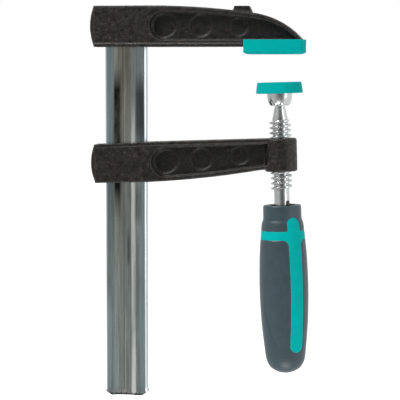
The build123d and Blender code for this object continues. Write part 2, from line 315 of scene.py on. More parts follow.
def cast_finish():
    """Sand-cast iron under a thin black coating, with painted shade in the pockets and painted highlights on
    its edges.
    """
    finish = Finish("cast_black", Metallic=0.0, IOR=1.5)
    fine = finish.noise(0.8, detail=5, roughness=0.7)
    coarse = finish.noise(2.6, detail=4, roughness=0.6, seed=3)
    mottle = finish.noise(2.0, detail=6, roughness=0.75, seed=7)
    colour = finish.ramp(mottle, [(0.38, (0.0012, 0.0007, 0.0004)), (0.5, (0.0058, 0.0038, 0.0026)),
                                  (0.6, (0.019, 0.0142, 0.0105)), (0.7, (0.075, 0.062, 0.049))])
    # The distance from the casting's middle plane, in cm, is least in the pockets
    outward = finish.maths("MULTIPLY", finish.maths("ABSOLUTE", finish.coordinates()["Y"]), 1 / CM)
    # Painted shade: the colour is darkened towards the middle plane, so most of all in the pockets.
    colour = finish.times(colour, finish.ramp(outward, [(0.28, 0.55), (0.55, 0.85)]))
    # Painted highlight: the outer edges are lightened, less so in the pockets.
    edge_highlight = finish.ramp(finish.pointiness(), [(0.514, 0.0), (0.55, 1.0)])
    edge_highlight = finish.times(edge_highlight, finish.ramp(coarse, [(0.35, 0.3), (0.6, 1.0)]))
    edge_highlight = finish.times(edge_highlight, finish.ramp(outward, [(0.26, 0.45), (0.45, 1.0)]))
    finish.feed("Base Color", finish.paint(colour, (0.06, 0.054, 0.048), edge_highlight))
    finish.feed("Roughness", finish.ramp(coarse, [(0.35, 0.3), (0.65, 0.6)]))
    finish.feed("Normal", finish.bump(fine, 0.22, 0.8, finish.bump(coarse, 0.5, 0.8)))
    return finish.material


# The rail's stripes, as stops across its face (0 at the back edge, 1 at the throat edge), stops
# along it (0 at the foot, 1 at the top) and a colour. The plating is straw-coloured in the groove; the other
# stripes are painted highlights and painted shade.
STRAW = ([(0.24, 0.0), (0.3, 1.0), (0.62, 0.8), (0.68, 0.0)],
         [(0.4, 0.45), (0.6, 0.75), (0.84, 1.0)], (0.80, 0.77, 0.62))
RIDGE_SIDES = [(0.6, 0.0), (0.63, 1.0), (0.72, 1.0), (0.74, 0.0)]
PAINTED_LIGHT_STRIPES = [
    # A glint on the groove's back slope, near the top
    ([(0.2, 0.0), (0.26, 1.0), (0.38, 1.0), (0.41, 0.0)], [(0.83, 0.0), (0.88, 1.0)], (1.0, 1.0, 0.84)),
    # The groove's throat slope, with painted shade near the top and a painted highlight below
    (RIDGE_SIDES, [(0.55, 0.0), (0.68, 0.5), (0.78, 1.0)], (0.3, 0.32, 0.31)),
    (RIDGE_SIDES, [(0.56, 1.0), (0.67, 0.35), (0.76, 0.0)], (0.88, 0.93, 0.88)),
]
# Dark patches, as limits across the face and along it on the same scales, and how dark each one is
DARK_PATCHES = [
    ((0.19, 0.23, 0.33, 0.42), (0.44, 0.54, 0.79, 0.85), 1.0),
    ((0.71, 0.76, 0.92, 0.95), (0.62, 0.7, 0.78, 0.84), 0.72),
    ((0.5, 0.53, 0.56, 0.6), (0.33, 0.36, 0.4, 0.44), 0.6),
    ((0.71, 0.75, 0.82, 0.9), (0.44, 0.47, 0.52, 0.56), 0.45),
    ((0.02, 0.07, 0.16, 0.2), (0.36, 0.48, 0.58, 0.66), 0.4),
]


def rail_stripe(finish, colour, across, along, stripe):
    """One stripe laid over the rail's colour."""
    side, height, paint = stripe
    return finish.paint(colour, paint, finish.times(finish.ramp(across, side), finish.ramp(along, height)))


def rail_finish():
    """Zinc plate on a rolled bar: drawn streaks, a straw tint in the groove, painted highlights on its groove
    slopes and corners, painted shade on the throat slope and in the scored line, and a few dark patches.
    """
    finish = Finish("zinc_rail", Metallic=1.0)
    place = finish.coordinates()
    length = RAIL_TOP - RAIL_BOTTOM
    across = finish.maths("ADD", finish.maths("MULTIPLY", place["X"], 1 / (2 * RAIL_HALF * MM)),
                          0.5 - RAIL_X / 2 / RAIL_HALF)
    along = finish.maths("ADD", finish.maths("MULTIPLY", place["Z"], 1 / MM / length), -RAIL_BOTTOM / length)

    tint = finish.noise(4.6, stretch=(1, 1, 40), detail=2, roughness=0.5, seed=11)
    colour = finish.ramp(tint, [(0.3, (0.50, 0.67, 0.72)), (0.46, (0.62, 0.76, 0.79)),
                                (0.58, (0.72, 0.82, 0.79)), (0.7, (0.80, 0.82, 0.72))])
    colour = rail_stripe(finish, colour, across, along, STRAW)
    # Painted highlight: the groove's back slope is brightened.
    back_slope_highlight = finish.ramp(across, [(0.19, 1.0), (0.22, 1.15), (0.32, 1.15), (0.35, 1.0)])
    colour = finish.times(colour, back_slope_highlight)
    # The painted highlights and painted shade on the groove's slopes
    for stripe in PAINTED_LIGHT_STRIPES:
        colour = rail_stripe(finish, colour, across, along, stripe)

    line = finish.noise(1.1, stretch=(1, 1, 110), detail=3, roughness=0.6, seed=23)
    colour = finish.times(colour, finish.ramp(line, [(0.3, 0.62), (0.46, 0.96), (0.7, 1.1)]))
    broad = finish.noise(7.0, stretch=(0.8, 1, 9), detail=4, roughness=0.6, seed=31)
    colour = finish.times(colour, finish.ramp(broad, [(0.33, 0.6), (0.55, 1.0)]))

    wander = finish.noise(9.0, stretch=(1, 1, 3), detail=5, roughness=0.65, seed=41)
    for side, height, darkness in DARK_PATCHES:
        mark = finish.times(finish.band(across, side), finish.band(along, height))
        mark = finish.times(mark, finish.ramp(wander, [(0.32, 0.75), (0.48, 1.0)]))
        colour = finish.paint(colour, (0.03, 0.032, 0.032), finish.maths("MULTIPLY", mark, darkness))

    # Painted shade in the scored line: the colour is halved along it.
    score = 0.5 + SCORE / 2 / RAIL_HALF
    scored = finish.ramp(across, [(score - 0.025, 1.0), (score - 0.008, 0.5),
                                  (score + 0.008, 0.5), (score + 0.025, 1.0)])
    colour = finish.times(colour, scored)
    # Painted highlights on the rounded corners of both edges.
    corners = finish.ramp(across, [(0.015, 1.0), (0.035, 0.0), (0.945, 0.0), (0.96, 1.0),
                                   (0.985, 1.0), (0.995, 0.1)])
    colour = finish.paint(colour, (0.74, 0.80, 0.81), corners)

    # The foot's plating is flaked off in light chips, and its lowest edge is torn dark where it was sheared
    chips = finish.noise(0.9, stretch=(1, 1, 1.6), detail=4, roughness=0.75, seed=2)
    foot = finish.maths("MULTIPLY", finish.maths("SUBTRACT", place["Z"], RAIL_BOTTOM * MM), 1 / MM)
    flaked = finish.times(finish.ramp(finish.maths("MULTIPLY", foot, 0.2), [(0.5, 1.0), (0.9, 0.0)]),
                          finish.ramp(chips, [(0.46, 0.0), (0.56, 0.8)]))
    colour = finish.paint(colour, (0.9, 0.9, 0.88), flaked)
    torn = finish.maths("ADD", finish.maths("MULTIPLY", foot, 0.22), chips)
    colour = finish.paint(colour, (0.05, 0.052, 0.05), finish.ramp(torn, [(0.7, 1.0), (0.8, 0.0)]))

    finish.feed("Base Color", colour)
    rubbed = finish.noise(0.45, stretch=(1, 1, 60), detail=4, roughness=0.6, seed=5)
    finish.feed("Roughness", finish.ramp(rubbed, [(0.3, 0.16), (0.7, 0.32)]))
    finish.feed("Normal", finish.bump(rubbed, 0.02, 0.5))
    return finish.material


def screw_finish(name, brightness=1.0):
    """Bright zinc plate on turned and rolled steel, with painted shade in its inner corners."""
    finish = Finish(name, Metallic=1.0)
    tint = finish.noise(2.5, detail=3, roughness=0.55, seed=11)
    dark = tuple(brightness * c for c in (0.62, 0.66, 0.67))
    light = tuple(brightness * c for c in (0.76, 0.77, 0.75))
    # Painted shade in the inner corners, such as the thread's roots.
    corner_shade = finish.ramp(finish.pointiness(), [(0.41, 0.35), (0.475, 1.0)])
    finish.feed("Base Color", finish.times(finish.ramp(tint, [(0.3, dark), (0.7, light)]), corner_shade))
    finish.feed("Roughness", finish.ramp(finish.noise(0.8, detail=4, seed=5), [(0.3, 0.1), (0.7, 0.24)]))
    finish.feed("Normal", finish.bump(finish.noise(1.6, detail=3, seed=8), 0.09, 0.5))
    return finish.material


def moulded_finish(name, colour, roughness, grain_mm, depth_mm, spread, shine, sheen=0.0):
    """Moulded plastic with a fine grain and a colour that varies by the spread."""
    finish = Finish(name, IOR=1.48, Specular_IOR_Level=shine, Sheen_Weight=sheen, Sheen_Roughness=0.4)
    dark = tuple(c * (1 - spread) for c in colour)
    light = tuple(c * (1 + spread) for c in colour)
    finish.feed("Base Color", finish.ramp(finish.noise(6, detail=4, seed=2), [(0.3, dark), (0.7, light)]))
    finish.feed("Roughness", finish.ramp(finish.noise(3, detail=3, seed=9),
                                         [(0.3, roughness - 0.05), (0.7, roughness + 0.05)]))
    finish.feed("Normal", finish.bump(finish.noise(grain_mm, detail=2, seed=4), depth_mm, 0.5))
    return finish.material


cast_black = cast_finish()
zinc_rail = rail_finish()
zinc_screw = screw_finish("zinc_screw")
# A darkened copy of the zinc: painted shade for the ears.
zinc_painted_shade = screw_finish("zinc_painted_shade", brightness=0.12)
teal_cap = moulded_finish("teal_cap", (0.0, 0.34, 0.328), roughness=0.55, grain_mm=0.5, depth_mm=0.02,
                          spread=0.04, shine=0.03)
teal_core = moulded_finish("teal_core", (0.0, 0.375, 0.36), roughness=0.5, grain_mm=0.5, depth_mm=0.01,
                           spread=0.04, shine=0.04)
grip_grey = moulded_finish("grip_grey", (0.033, 0.058, 0.070), roughness=0.4, grain_mm=0.35, depth_mm=0.03,
                           spread=0.1, shine=0.5, sheen=0.08)


def finish_piece(piece, body, slot, material, *nodes):
    """Gives a piece its material and its body, and hides the CAD nodes that it stands for. The slot is not
    used.
    """
    piece.data.materials.clear()
    piece.data.materials.append(material)
    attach(piece, body)
    if nodes:
        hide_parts(*nodes)


# ---- Castings ------------------------------------------------------------------------------------

# The sandy skin, in mm: its mesh, the size of its two grains, their depth, and how far it is set back under
# the CAD form so that no grain stands out of it
SKIN_VOXEL = 0.38
FINE_SAND, BROAD_SAND = 0.9, 3.5
SAND_DEPTH = 0.05
SKIN_SETBACK = 0.09


def casting(name, node):
    """The arm's CAD form with a casting's soft edges and its sandy skin."""
    piece = to_object(name, frame["nodes"][node].data.copy())
    piece.data.materials.clear()
    weld = piece.modifiers.new("weld", "WELD")
    weld.merge_threshold = 1e-6
    skin = piece.modifiers.new("skin", "REMESH")
    skin.mode = "VOXEL"
    skin.voxel_size = SKIN_VOXEL * MM
    soften = piece.modifiers.new("soften", "SMOOTH")
    soften.factor = 0.5
    soften.iterations = 3
    bake_modifiers(piece)
    mesh = piece.data
    normals = [vertex.normal.copy() for vertex in mesh.vertices]
    for vertex, normal in zip(mesh.vertices, normals):
        fine = noise.noise(vertex.co / (FINE_SAND * MM))
        broad = noise.noise(vertex.co / (BROAD_SAND * MM) + Vector((5, 5, 5)))
        vertex.co += normal * (SAND_DEPTH * fine + SAND_DEPTH * broad - SKIN_SETBACK) * MM
    shade(piece, 60)
    return piece


fixed_arm = casting("fixed_arm_casting", "fixed_arm")
finish_piece(fixed_arm, "frame", "cast_arm", cast_black, "fixed_arm")

sliding_arm = casting("sliding_arm_casting", "sliding_arm")
finish_piece(sliding_arm, "arm", "cast_arm", cast_black, "sliding_arm")

# ---- Rail ----------------------------------------------------------------------------------------

# The rail's groove, in mm: its depth, where its back slope starts and ends, and where its throat slope ends
# and starts
GROOVE_DEPTH = 1.1
GROOVE_SLOPES = (-7.3, -4.2, 2.9, 5.6)
# The edges' worn bevels, across the face and through the thickness, the scored line's half width and depth,
# and the radius of the section's corners
BACK_BEVEL, THROAT_BEVEL = (0.8, 0.9), (1.15, 1.05)
SCORE_HALF, SCORE_DEPTH = 0.4, 0.25
EDGE_ROUNDING = 0.4
# The spacing of the mesh round the bar and along it
OUTLINE_STEP, ROW_STEP = 0.7, 2.5
# The foot: how far it swells sideways and in thickness, its rounded lowest edge, its bevel and its cut
FOOT_SPREAD, FOOT_THICKENING = 0.55, 0.26
FOOT_EDGE, FOOT_EDGE_HEIGHT = 0.35, 0.4
FOOT_BEVEL, FOOT_RAGGED = 1.7, 0.16


def rail_outline():
    """The bar's section round its own middle: worn bevels, and a scored groove on both faces."""
    groove_floor = GROOVE_DEPTH - RAIL_FACE
    back_start, back_end, throat_end, throat_start = GROOVE_SLOPES
    half = [
        (-RAIL_HALF, 0),
        (-RAIL_HALF, BACK_BEVEL[1] - RAIL_FACE),
        (BACK_BEVEL[0] - RAIL_HALF, -RAIL_FACE),
        (back_start, -RAIL_FACE),
        (back_end, groove_floor),
        (SCORE - SCORE_HALF, groove_floor),
        (SCORE, groove_floor + SCORE_DEPTH),
        (SCORE + SCORE_HALF, groove_floor),
        (throat_end, groove_floor),
        (throat_start, -RAIL_FACE),
        (RAIL_HALF - THROAT_BEVEL[0], -RAIL_FACE),
        (RAIL_HALF, THROAT_BEVEL[1] - RAIL_FACE),
    ]
    outline = rounded(half + [(-x, -y) for x, y in half], EDGE_ROUNDING, 4, closed=True)
    spaced = []
    for here, after in zip(outline, outline[1:] + outline[:1]):
        parts = ceil((after - here).length / OUTLINE_STEP)
        spaced += [here.lerp(after, part / parts) for part in range(parts)]
    return spaced


def rail_bar():
    """The rolled bar: its section run up in rows, waved a little, with a swollen, roughly sheared foot."""
    outline = rail_outline()
    heights = [0, 0.12, 0.3, 0.55, 0.9, 1.4, 2.0, 2.8, 3.6, FOOT_HEIGHT, 6]
    while heights[-1] < RAIL_TOP - RAIL_BOTTOM - 4:
        heights.append(heights[-1] + ROW_STEP)
    heights.append(RAIL_TOP - RAIL_BOTTOM)
    bm = bmesh.new()
    rows = []
    for height in heights:
        swelling = 1 - smoothstep(0, FOOT_HEIGHT, height)
        edge = FOOT_EDGE * max(0, 1 - height / FOOT_EDGE_HEIGHT) ** 2
        row = []
        for x, y in outline:
            grow = 1 + (FOOT_SPREAD * swelling - edge) / RAIL_HALF
            thicken = 1 + (FOOT_THICKENING * swelling - 0.6 * edge) / RAIL_FACE
            bevel = FOOT_BEVEL * smoothstep(8.6, 12.6, abs(x))
            ragged = FOOT_RAGGED + FOOT_RAGGED * noise.noise(Vector((x * 0.9, y * 0.5, 3)))
            lift = (bevel + ragged) * swelling
            wave = (0.018 * noise.noise(Vector((x * 0.8, y * 0.8, height * 0.02)))
                    + 0.012 * noise.noise(Vector((x * 2.4, y, height * 0.05 + 9))))
            away = Vector((x / RAIL_HALF, y / RAIL_FACE)).normalized() * wave
            point = (RAIL_X + x * grow - away.x, y * thicken - away.y, RAIL_BOTTOM + height + lift)
            row.append(bm.verts.new(point))
        rows.append(row)
    bmesh.ops.triangulate(bm, faces=skin_rows(bm, rows))
    return to_object("rail_bar", bm, upright)


rail = rail_bar()
shade(rail, 40)
finish_piece(rail, "frame", "zinc_rail", zinc_rail, "rail")

# ---- Fixed jaw cap -------------------------------------------------------------------------------

# The cap, in mm: its inner end, its tip, half its width, its height, its corners and its tip's bow
CAP_START, CAP_END, CAP_SIDE, CAP_HEIGHT = -21.4, 15.4, 10.6, 8.7
CAP_CORNER = 1.6
CAP_BOW = 1.8
SIDE_STEPS, TIP_STEPS = 24, 16
# How far each row of the cap lies inside its plan, and its height: the crowned sole, the lip round it, the
# wall and the rounded rim
CAP_ROWS = [
    (7.0, 0.0), (4.0, 0.03), (2.4, 0.1), (1.5, 0.3), (0.8, 0.7), (0.25, 1.15),
    (0.03, 1.4), (0.02, 1.55), (0.06, 1.75), (0.16, 2.05),
    (0.24, 2.3), (0.25, 2.6), (0.22, 3.2), (0.15, 5.0), (0.1, 7.6),
    (0.14, 8.2), (0.25, 8.52), (0.45, 8.66), (0.7, CAP_HEIGHT),
]


def cap_outline(inset):
    """The cap's plan as a closed outline: bowed sides, a bowed tip and a square inner end."""
    start, end, side = CAP_START + inset, CAP_END - inset, CAP_SIDE - inset
    corner = side - CAP_CORNER
    middle = (start + end) / 2
    half = (end - start) / 2
    front = []
    for step in range(SIDE_STEPS + 1):
        x = start + (end - CAP_BOW - start) * step / SIDE_STEPS
        front.append((x, -(corner + CAP_CORNER * (1 - ((x - middle) / half) ** 2))))
    tip = []
    for step in range(1, TIP_STEPS):
        y = -corner + 2 * corner * step / TIP_STEPS
        tip.append((end - CAP_BOW * (y / corner) ** 2, y))
    back = [(x, -y) for x, y in reversed(front)]
    return front + tip + back


def jaw_cap():
    """The soft cap over the fixed jaw: a slightly crowned sole, round edges and a notch round the arm."""
    bm = bmesh.new()
    rows = []
    for inset, height in CAP_ROWS:
        outline = [Vector(point) for point in cap_outline(inset)]
        soft = rounded(outline, max(0.4, CAP_CORNER - inset), 4, closed=True)
        rows.append([bm.verts.new((p.x, p.y, height)) for p in soft])
    bmesh.ops.triangulate(bm, faces=skin_rows(bm, rows))
    piece = to_object("jaw_cap", bm, upright)
    cut(piece, to_object("cap_notch", frame["nodes"]["fixed_arm"].data.copy()))
    return piece


cap = jaw_cap()
shade(cap, 40)
finish_piece(cap, "frame", "soft_cap", teal_cap, "fixed_jaw_cap")

# ---- Spindle -------------------------------------------------------------------------------------

# The screw, in mm up its axis from the middle of the boss. The shank is as thick as the thread's root, and
# the ridge is rooted a little inside it.
PITCH = 3.0
THREAD_RADIUS = 6.4
ROOT_RADIUS = 4.6
ROOTING = 0.35
THREAD_LOW, THREAD_HIGH = -21.0, 21.15
TURN_STEPS = 64
SHANK_END = -92
SHANK_CHAMFER = 0.6
CONE_LOW, CONE_HIGH = 22.1, 28.8
NECK_RADIUS = 3.1
NECK_TOP = 29.4


def screw_core():
    """The turned shank: root, the cone under the ball and the neck."""
    bm = bmesh.new()
    shank = [(ROOT_RADIUS, z) for z in (SHANK_END + SHANK_CHAMFER, -70, -50, -40, -24, -10, 0, 10, 18, 21.4)]
    cone = [(4.55, CONE_LOW), (4.4, 22.9), (3.3, 28.0), (3.12, 28.5)]
    profile = [(0, SHANK_END), (ROOT_RADIUS - SHANK_CHAMFER, SHANK_END)] + shank + cone
    profile += [(NECK_RADIUS, CONE_HIGH), (NECK_RADIUS, NECK_TOP), (0, NECK_TOP)]
    lathe(bm, profile, 72)
    return to_object("screw_core", bm, on_screw)


def screw_ridge():
    """The rolled trapezoidal thread as one wound ridge, rounded at its crest and faded out at both ends."""
    base = ROOT_RADIUS - ROOTING
    section = rounded([(base, -1.02), (THREAD_RADIUS, -0.5), (THREAD_RADIUS, 0.5), (base, 1.02)], 0.22, 3)
    turns = (THREAD_HIGH - THREAD_LOW) / PITCH
    steps = int(turns * TURN_STEPS)
    bm = bmesh.new()
    rows = []
    for step in range(steps + 1):
        done = step / steps
        angle = 2 * pi * turns * done
        start, end = done * turns, (1 - done) * turns
        fade = smoothstep(-0.02, 0.35, start) * smoothstep(-0.02, 0.16, end)
        row = []
        for radius, offset in section:
            r = base + (radius - base) * (0.1 + 0.9 * fade)
            z = THREAD_LOW + PITCH * turns * done + offset * (0.4 + 0.6 * fade)
            row.append(bm.verts.new((r * cos(angle), r * sin(angle), z)))
        rows.append(row)
    skin_rows(bm, rows)
    return to_object("screw_ridge", bm, on_screw)


# The ears: their reach and their shoulders', their heights, half their thickness, their edges and angle
EAR_REACH, EAR_SHOULDER = 5.5, 4.7
EAR_BOTTOM, EAR_WAIST, EAR_TOP = -60, -28.6, -26.6
EAR_HALF, EAR_EDGE = 1.2, 0.25
EAR_ANGLE = -37


def screw_ears():
    """The two ears pinched out of the shank, with sloping shoulders."""
    bm = bmesh.new()
    outline = rounded([(-EAR_REACH, EAR_BOTTOM), (EAR_REACH, EAR_BOTTOM), (EAR_REACH, EAR_WAIST),
                       (EAR_SHOULDER, EAR_TOP), (-EAR_SHOULDER, EAR_TOP), (-EAR_REACH, EAR_WAIST)],
                      0.4, 3, closed=True)
    rows = []
    for y, inset in ((-EAR_HALF, 0.3), (EAR_EDGE - EAR_HALF, 0), (EAR_HALF - EAR_EDGE, 0), (EAR_HALF, 0.3)):
        rows.append([bm.verts.new((p.x - copysign(inset, p.x), y, p.y - inset * 0.5)) for p in outline])
    skin_rows(bm, rows)
    return to_object("screw_ears", bm, on_screw @ Matrix.Rotation(radians(EAR_ANGLE), 4, "Z"))


def united(piece, *others):
    """One solid from several overlapping ones."""
    for other in others:
        weld = piece.modifiers.new("unite", "BOOLEAN")
        weld.operation = "UNION"
        weld.object = other
        weld.solver = "EXACT"
        bake_modifiers(piece)
        bpy.data.objects.remove(other)
    return piece


screw = united(screw_core(), screw_ridge())
screw.name = "screw"
shade(screw, 32)
finish_piece(screw, "screw", "zinc_screw", zinc_screw, "spindle")

# The ears get a darkened copy of the zinc, painted shade
ears = screw_ears()
shade(ears, 32)
finish_piece(ears, "screw", "zinc_screw", zinc_painted_shade)

# ---- Pressure plate ------------------------------------------------------------------------------

# The ball's centre, the cup's cavity round it, the disc and the soft pad, in mm up the screw's axis
BALL_CENTRE = 33.5
CAVITY_RADIUS = 5.06
CAVITY_STEPS = 18
DISC_RADIUS = 12.0
DISC_BOTTOM, DISC_TOP = 37.6, 40.2
DISC_EDGE = 0.3
PAD_BOTTOM, PAD_TOP = 37.0, 43.6
PAD_MOUTH = 11.0
# The crimp: the part of the cup that it shapes, and how far its lobes go in and up
CRIMP_BOTTOM, CRIMP_TOP, CRIMP_INSIDE = 29.7, 34.5, 4.9
CRIMP_IN, CRIMP_UP = 0.55, 0.45
LOBES = 8


def crimped(angle, radius, height):
    """The cup's mouth is pressed in round the ball, which leaves a scalloped edge."""
    if radius < CRIMP_INSIDE or height > CRIMP_TOP:
        return radius, height
    amount = 1 - smoothstep(CRIMP_BOTTOM, CRIMP_TOP, height)
    lobe = 0.5 + 0.5 * cos(LOBES * angle)
    return radius - CRIMP_IN * amount * lobe, height + CRIMP_UP * amount * lobe


def plate_cup():
    """The cup crimped round the ball, and the disc behind the cap."""
    bm = bmesh.new()
    profile = [(0, BALL_CENTRE + CAVITY_RADIUS)]
    for step in range(1, CAVITY_STEPS + 1):
        angle = pi / 2 - (pi / 2 + 0.43) * step / CAVITY_STEPS
        profile.append((CAVITY_RADIUS * cos(angle), BALL_CENTRE + CAVITY_RADIUS * sin(angle)))
    mouth = [(4.6, 31.0), (4.62, 30.1), (4.85, 29.78), (5.2, CRIMP_BOTTOM), (5.65, 29.85), (6.15, 30.3)]
    side = [(6.6, 31.0), (6.95, 32.0), (7.2, 33.4), (7.38, 35.0), (7.45, 36.6), (7.5, DISC_BOTTOM)]
    disc = [(DISC_RADIUS - DISC_EDGE, DISC_BOTTOM), (DISC_RADIUS, DISC_BOTTOM + DISC_EDGE),
            (DISC_RADIUS, DISC_TOP - DISC_EDGE), (DISC_RADIUS - DISC_EDGE, DISC_TOP), (0, DISC_TOP)]
    lathe(bm, profile + mouth + side + disc, 120, crimped)
    return to_object("plate_cup", bm, on_screw)


def plate_cap():
    """The soft cap over the disc, a little narrower at its face than at its rim."""
    bm = bmesh.new()
    inside = [(0, DISC_TOP), (DISC_RADIUS, DISC_TOP), (DISC_RADIUS, DISC_BOTTOM), (PAD_MOUTH, DISC_BOTTOM)]
    outside = rounded([(PAD_MOUTH, PAD_BOTTOM), (14.0, PAD_BOTTOM), (13.1, PAD_TOP), (8.0, PAD_TOP)], 0.8, 6)
    lathe(bm, inside + [tuple(p) for p in outside] + [(0, PAD_TOP)], 120)
    return to_object("plate_cap", bm, on_screw)


cup = plate_cup()
shade(cup, 40)
finish_piece(cup, "plate", "zinc_screw", zinc_screw, "pressure_plate")

pad = plate_cap()
shade(pad, 40)
finish_piece(pad, "plate", "soft_cap", teal_cap, "pressure_plate_cap")

# ---- Handle --------------------------------------------------------------------------------------

# The handle, in mm up the screw's axis and degrees round it: its top, its length, its teal ribs and its ring
HANDLE_TOP = -29.4
HANDLE_LENGTH = 100.9
RIB_ANGLES = (-51, 129)
RIB_HALF = 4.35
RIB_TOP, RIB_BOTTOM = -36.3, -116.8
RING_TOP, RING_BOTTOM = -44.4, -49.6
RING_MIDDLE = (RING_TOP + RING_BOTTOM) / 2
# The round corners where the ribs leave the ring, below it and above it
LOWER_FILLET, UPPER_FILLET = 3.4, 1.2
# The lens-shaped panels
PANEL_ANGLES = (-111, 69)
PANEL_MIDDLE = -86.0
PANEL_HALF_LENGTH, PANEL_HALF_WIDTH, PANEL_DEPTH = 26.0, 7.2, 0.28
# The parting groove along the ring and ribs' edge, and the lines that the grid is cut on beside it
GROOVE_HALF, GROOVE_SINK = 0.44, 0.22
GROOVE_EDGE = 0.45
ON_EDGE = 1e-3
SHELL_WALL = 1.5
# The grid's columns start and end in the middle of a dark face, and its last rows close the dome
SEAM = radians(39)
GRID_COLUMNS = 168
GRID_STEP = 0.5
DOME_DEPTH = 95
# The form's stations: depth under the handle's top, and radius
FORM = [
    (0, 10.9), (0.5, 11.3), (8.4, 11.5), (9.0, 11.75), (10.1, 12.2), (12.2, 12.62), (15.8, 12.95),
    (22.9, 13.6), (30.1, 14.13), (33.7, 14.28), (40.9, 14.5), (48.0, 14.6), (55.2, 14.54),
    (62.3, 14.3), (69.5, 13.93), (76.7, 13.35), (83.8, 12.65), (88.5, 12.15), (91.0, 11.85),
    (93.0, 11.4), (94.6, 10.8), (96.3, 9.85), (97.9, 8.45), (99.3, 6.4), (100.2, 4.25),
    (100.7, 2.2), (HANDLE_LENGTH, 0),
]


def form_radius(height):
    """The grip's radius at a height, on a smooth curve through the form's stations, with a round end."""
    depth = HANDLE_TOP - height
    last = len(FORM) - 2
    for i in range(last + 1):
        (d0, r0), (d1, r1) = FORM[i], FORM[i + 1]
        if depth <= d1:
            break
    t = min(1, max(0, (depth - d0) / (d1 - d0)))
    if i == last:
        return r0 * sqrt(max(0, 1 - t * t))
    slope0 = r1 - r0
    if i > 0:
        slope0 = (r1 - FORM[i - 1][1]) / (d1 - FORM[i - 1][0]) * (d1 - d0)
    slope1 = (FORM[i + 2][1] - r0) / (FORM[i + 2][0] - d0) * (d1 - d0)
    return ((2 * t**3 - 3 * t**2 + 1) * r0 + (t**3 - 2 * t**2 + t) * slope0
            + (3 * t**2 - 2 * t**3) * r1 + (t**3 - t**2) * slope1)


def turn_from(angle, middle):
    """How far an angle is turned from a middle given in degrees, between minus and plus half a turn."""
    return (angle - radians(middle) + pi) % (2 * pi) - pi


def teal_edge(angle, height):
    """Distance in mm from the ring and ribs' edge, measured round the grip: below zero inside them."""
    ring = abs(height - RING_MIDDLE) - (RING_TOP - RING_BOTTOM) / 2
    radius = form_radius(height)
    low, high = RIB_BOTTOM + RIB_HALF, RIB_TOP - RIB_HALF
    rib = 1e3
    for rib_angle in RIB_ANGLES:
        turn = turn_from(angle, rib_angle)
        if abs(turn) < pi / 2:
            across = radius * sin(turn)
            along = height - min(high, max(low, height))
            rib = min(rib, hypot(across, along) - RIB_HALF)
    fillet = LOWER_FILLET if height < RING_MIDDLE else UPPER_FILLET
    return max(fillet, min(ring, rib)) - hypot(max(0, fillet - ring), max(0, fillet - rib))


def grip_grid():
    """The grip's outside as a flat sheet of angle and height, cut along the ring and ribs' outline."""
    bm = bmesh.new()
    depths = [0, 0.2] + [GRID_STEP * i for i in range(1, 199)] + [99.5, 99.9, 100.2, 100.45, 100.65, 100.8]
    rows = [[bm.verts.new((SEAM + 2 * pi * i / GRID_COLUMNS, HANDLE_TOP - depth, 0))
             for i in range(GRID_COLUMNS + 1)] for depth in depths]
    for upper, lower in zip(rows, rows[1:]):
        for i in range(GRID_COLUMNS):
            bm.faces.new((upper[i], upper[i + 1], lower[i + 1], lower[i]))
    for level in (-GROOVE_EDGE, 0.0, GROOVE_EDGE):
        distance = {vertex: teal_edge(vertex.co.x, vertex.co.y) - level for vertex in bm.verts}
        fresh = []
        for edge in list(bm.edges):
            first, second = edge.verts
            a, b = distance[first], distance[second]
            if a * b < 0 and min(abs(a), abs(b)) > ON_EDGE:
                fresh.append(bmesh.utils.edge_split(edge, first, a / (a - b))[1])
        near = [vertex for vertex, d in distance.items() if abs(d) <= ON_EDGE]
        bmesh.ops.connect_verts(bm, verts=fresh + near)
    return bm


def on_grip(angle, height, sink=0.0):
    """The grip's surface at an angle and a height, sunk by an amount."""
    radius = max(0.0, form_radius(height) - sink)
    return Vector((radius * cos(angle), radius * sin(angle), height))


def panel(angle, height):
    """How deep a lens-shaped panel is pressed into each dark face."""
    along = (height - PANEL_MIDDLE) / PANEL_HALF_LENGTH
    if abs(along) > 1:
        return 0.0
    inside = -1e3
    for middle in PANEL_ANGLES:
        across = abs(turn_from(angle, middle)) * form_radius(height)
        inside = max(inside, PANEL_HALF_WIDTH * (1 - along * along) - across)
    return PANEL_DEPTH * smoothstep(-0.35, 0.35, inside)


def grip_part(name, grid, wanted, sink):
    """One plastic of the grip: its faces of the grid, wrapped round and given a thickness."""
    bm = grid.copy()
    sheet = {face: face.calc_center_median() for face in bm.faces}
    unwanted = [face for face, middle in sheet.items() if not wanted(middle.x, middle.y)]
    bmesh.ops.delete(bm, geom=unwanted, context="FACES")
    for vertex in bm.verts:
        angle, height = vertex.co.x, vertex.co.y
        vertex.co = on_grip(angle, height, sink(angle, height))
    bmesh.ops.remove_doubles(bm, verts=bm.verts, dist=1e-4)
    dome = HANDLE_TOP - DOME_DEPTH
    hole = [edge for edge in bm.edges if edge.is_boundary and all(v.co.z < dome for v in edge.verts)]
    if hole:
        bmesh.ops.holes_fill(bm, edges=hole, sides=0)
    piece = to_object(name, bm, on_screw)
    shell = piece.modifiers.new("shell", "SOLIDIFY")
    shell.thickness = SHELL_WALL * MM
    shell.offset = -1
    bake_modifiers(piece)
    return piece


def groove(angle, height):
    """A fine parting groove along the ring and ribs' edge."""
    return GROOVE_SINK * (1 - smoothstep(0.0, GROOVE_HALF, abs(teal_edge(angle, height))))


def dark_sink(angle, height):
    """How far the dark grip's surface is sunk: the groove and the panels."""
    return groove(angle, height) + panel(angle, height)


def in_core(angle, height):
    """Whether a place on the grip is on the ring or a rib."""
    return teal_edge(angle, height) < 0


def in_collar(angle, height):
    """Whether a place on the grip is on the dark moulding above the ring."""
    return teal_edge(angle, height) > 0 and height > RING_MIDDLE


